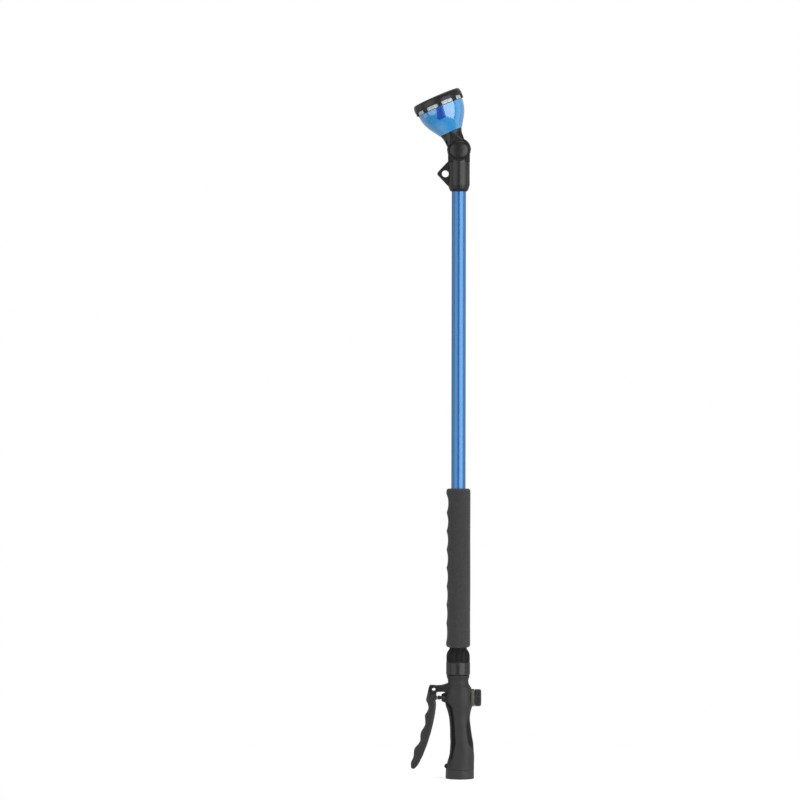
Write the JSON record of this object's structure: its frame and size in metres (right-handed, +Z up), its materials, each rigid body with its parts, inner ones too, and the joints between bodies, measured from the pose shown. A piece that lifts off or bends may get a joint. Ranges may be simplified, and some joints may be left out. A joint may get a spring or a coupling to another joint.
{
  "type": "watering wand",
  "caption": "Garden watering wand with a squeeze lever, flow knob, foam gripped metal tube and a tilting rotary pattern spray head with a hang loop.",
  "frame": {"origin": "centre of the hose inlet's mouth, on the plane the wand stands on", "axes": "+Z up the wand from the hose inlet to the spray head; the trigger, hang loop and spray face are on the -X side and the flow knob on the +X side; +Y is the wand's other side, along the lever pin and knuckle bolt"},
  "size_m": [0.0959, 0.0672, 0.9141],
  "materials": {
    "handle_black": "semi-gloss moulded black",
    "handle_rubber": "satin overmould",
    "trigger_black": "semi-gloss moulded black",
    "seal_rubber": "matt",
    "steel": "bright zinc plated",
    "brass": "turned",
    "spring_steel": "drawn wire",
    "ring_grey": "satin grey",
    "acetal": "natural",
    "tube_blue": "blue anodised, polished",
    "foam_black": "closed cell foam, matt",
    "bowl_blue": "translucent blue plastic",
    "pointer_blue": "gloss deep blue",
    "label_white": "printed white film",
    "dial_black": "semi-gloss moulded black"
  },
  "bodies": {
    "wand": {"valve_body": "handle_black", "handle_sleeve": "handle_rubber", "base_ring": "handle_black", "hose_washer": "seal_rubber", "lever_catch": "trigger_black", "lever_pin": "handle_black", "plunger_spring": "spring_steel", "gland_nut": "handle_black", "gland_oring": "seal_rubber", "flow_bonnet": "ring_grey", "flow_oring": "seal_rubber", "union_nut": "handle_black", "tube_spigot": "dial_black", "spigot_orings": "seal_rubber", "tube": "tube_blue", "foam_grip": "foam_black", "collar": "dial_black", "collar_oring": "seal_rubber", "saddle_seal": "seal_rubber", "pivot_bolt": "steel", "pivot_nut": "steel", "knuckle_cap_left": "dial_black", "knuckle_cap_right": "dial_black"},
    "trigger": {"lever": "trigger_black"},
    "valve_stem": {"plunger": "trigger_black", "plunger_seal": "seal_rubber"},
    "flow_control": {"flow_knob": "handle_black", "flow_stem": "brass", "knob_screw": "steel"},
    "flow_throttle": {"flow_plug": "acetal"},
    "spray_head": {"head_neck": "dial_black", "neck_oring": "seal_rubber", "head_shell": "bowl_blue", "pattern_pointer": "pointer_blue", "manifold": "dial_black", "port_seal": "seal_rubber", "seal_spring": "spring_steel", "detent_ball": "steel", "detent_spring": "spring_steel", "dial_screw": "steel"},
    "pattern_dial": {"port_plate": "dial_black", "face_plate": "dial_black", "label_band": "label_white", "dial_ring": "dial_black"}
  },
  "joints": [
    {"name": "lever_squeeze", "type": "hinge", "parent": "wand", "child": "trigger", "pos_m": [-0.0347, 0, 0.1181], "axis": [0, -1, 0], "range_deg": [0, 19], "stiffness_Nm_per_rad": 1.2, "springref_deg": -6.88},
    {"name": "plunger_slide", "type": "slide", "parent": "wand", "child": "valve_stem", "axis": [1, 0, 0], "range_m": [0, 0.0036], "deforming": ["plunger_spring"]},
    {"name": "flow_knob_turn", "type": "hinge", "parent": "wand", "child": "flow_control", "pos_m": [0.024, 0, 0.107], "axis": [1, 0, 0], "range_deg": [0, 270]},
    {"name": "flow_screw_advance", "type": "slide", "parent": "wand", "child": "flow_throttle", "axis": [-1, 0, 0], "range_m": [0, 0.0016]},
    {"name": "head_tilt", "type": "hinge", "parent": "wand", "child": "spray_head", "pos_m": [-0.0025, 0, 0.8316], "axis": [0, -1, 0], "range_deg": [-23.5, 66.5]},
    {"name": "dial_turn", "type": "hinge", "parent": "spray_head", "child": "pattern_dial", "pos_m": [-0.03041, 0, 0.89579], "axis": [-0.3987, 0, 0.9171], "continuous": true}
  ],
  "couplings": [
    {"joint": "plunger_slide", "follows": "lever_squeeze", "m_per_rad": 0.0106},
    {"joint": "flow_screw_advance", "follows": "flow_knob_turn", "m_per_rad": 0.00031831}
  ]
}
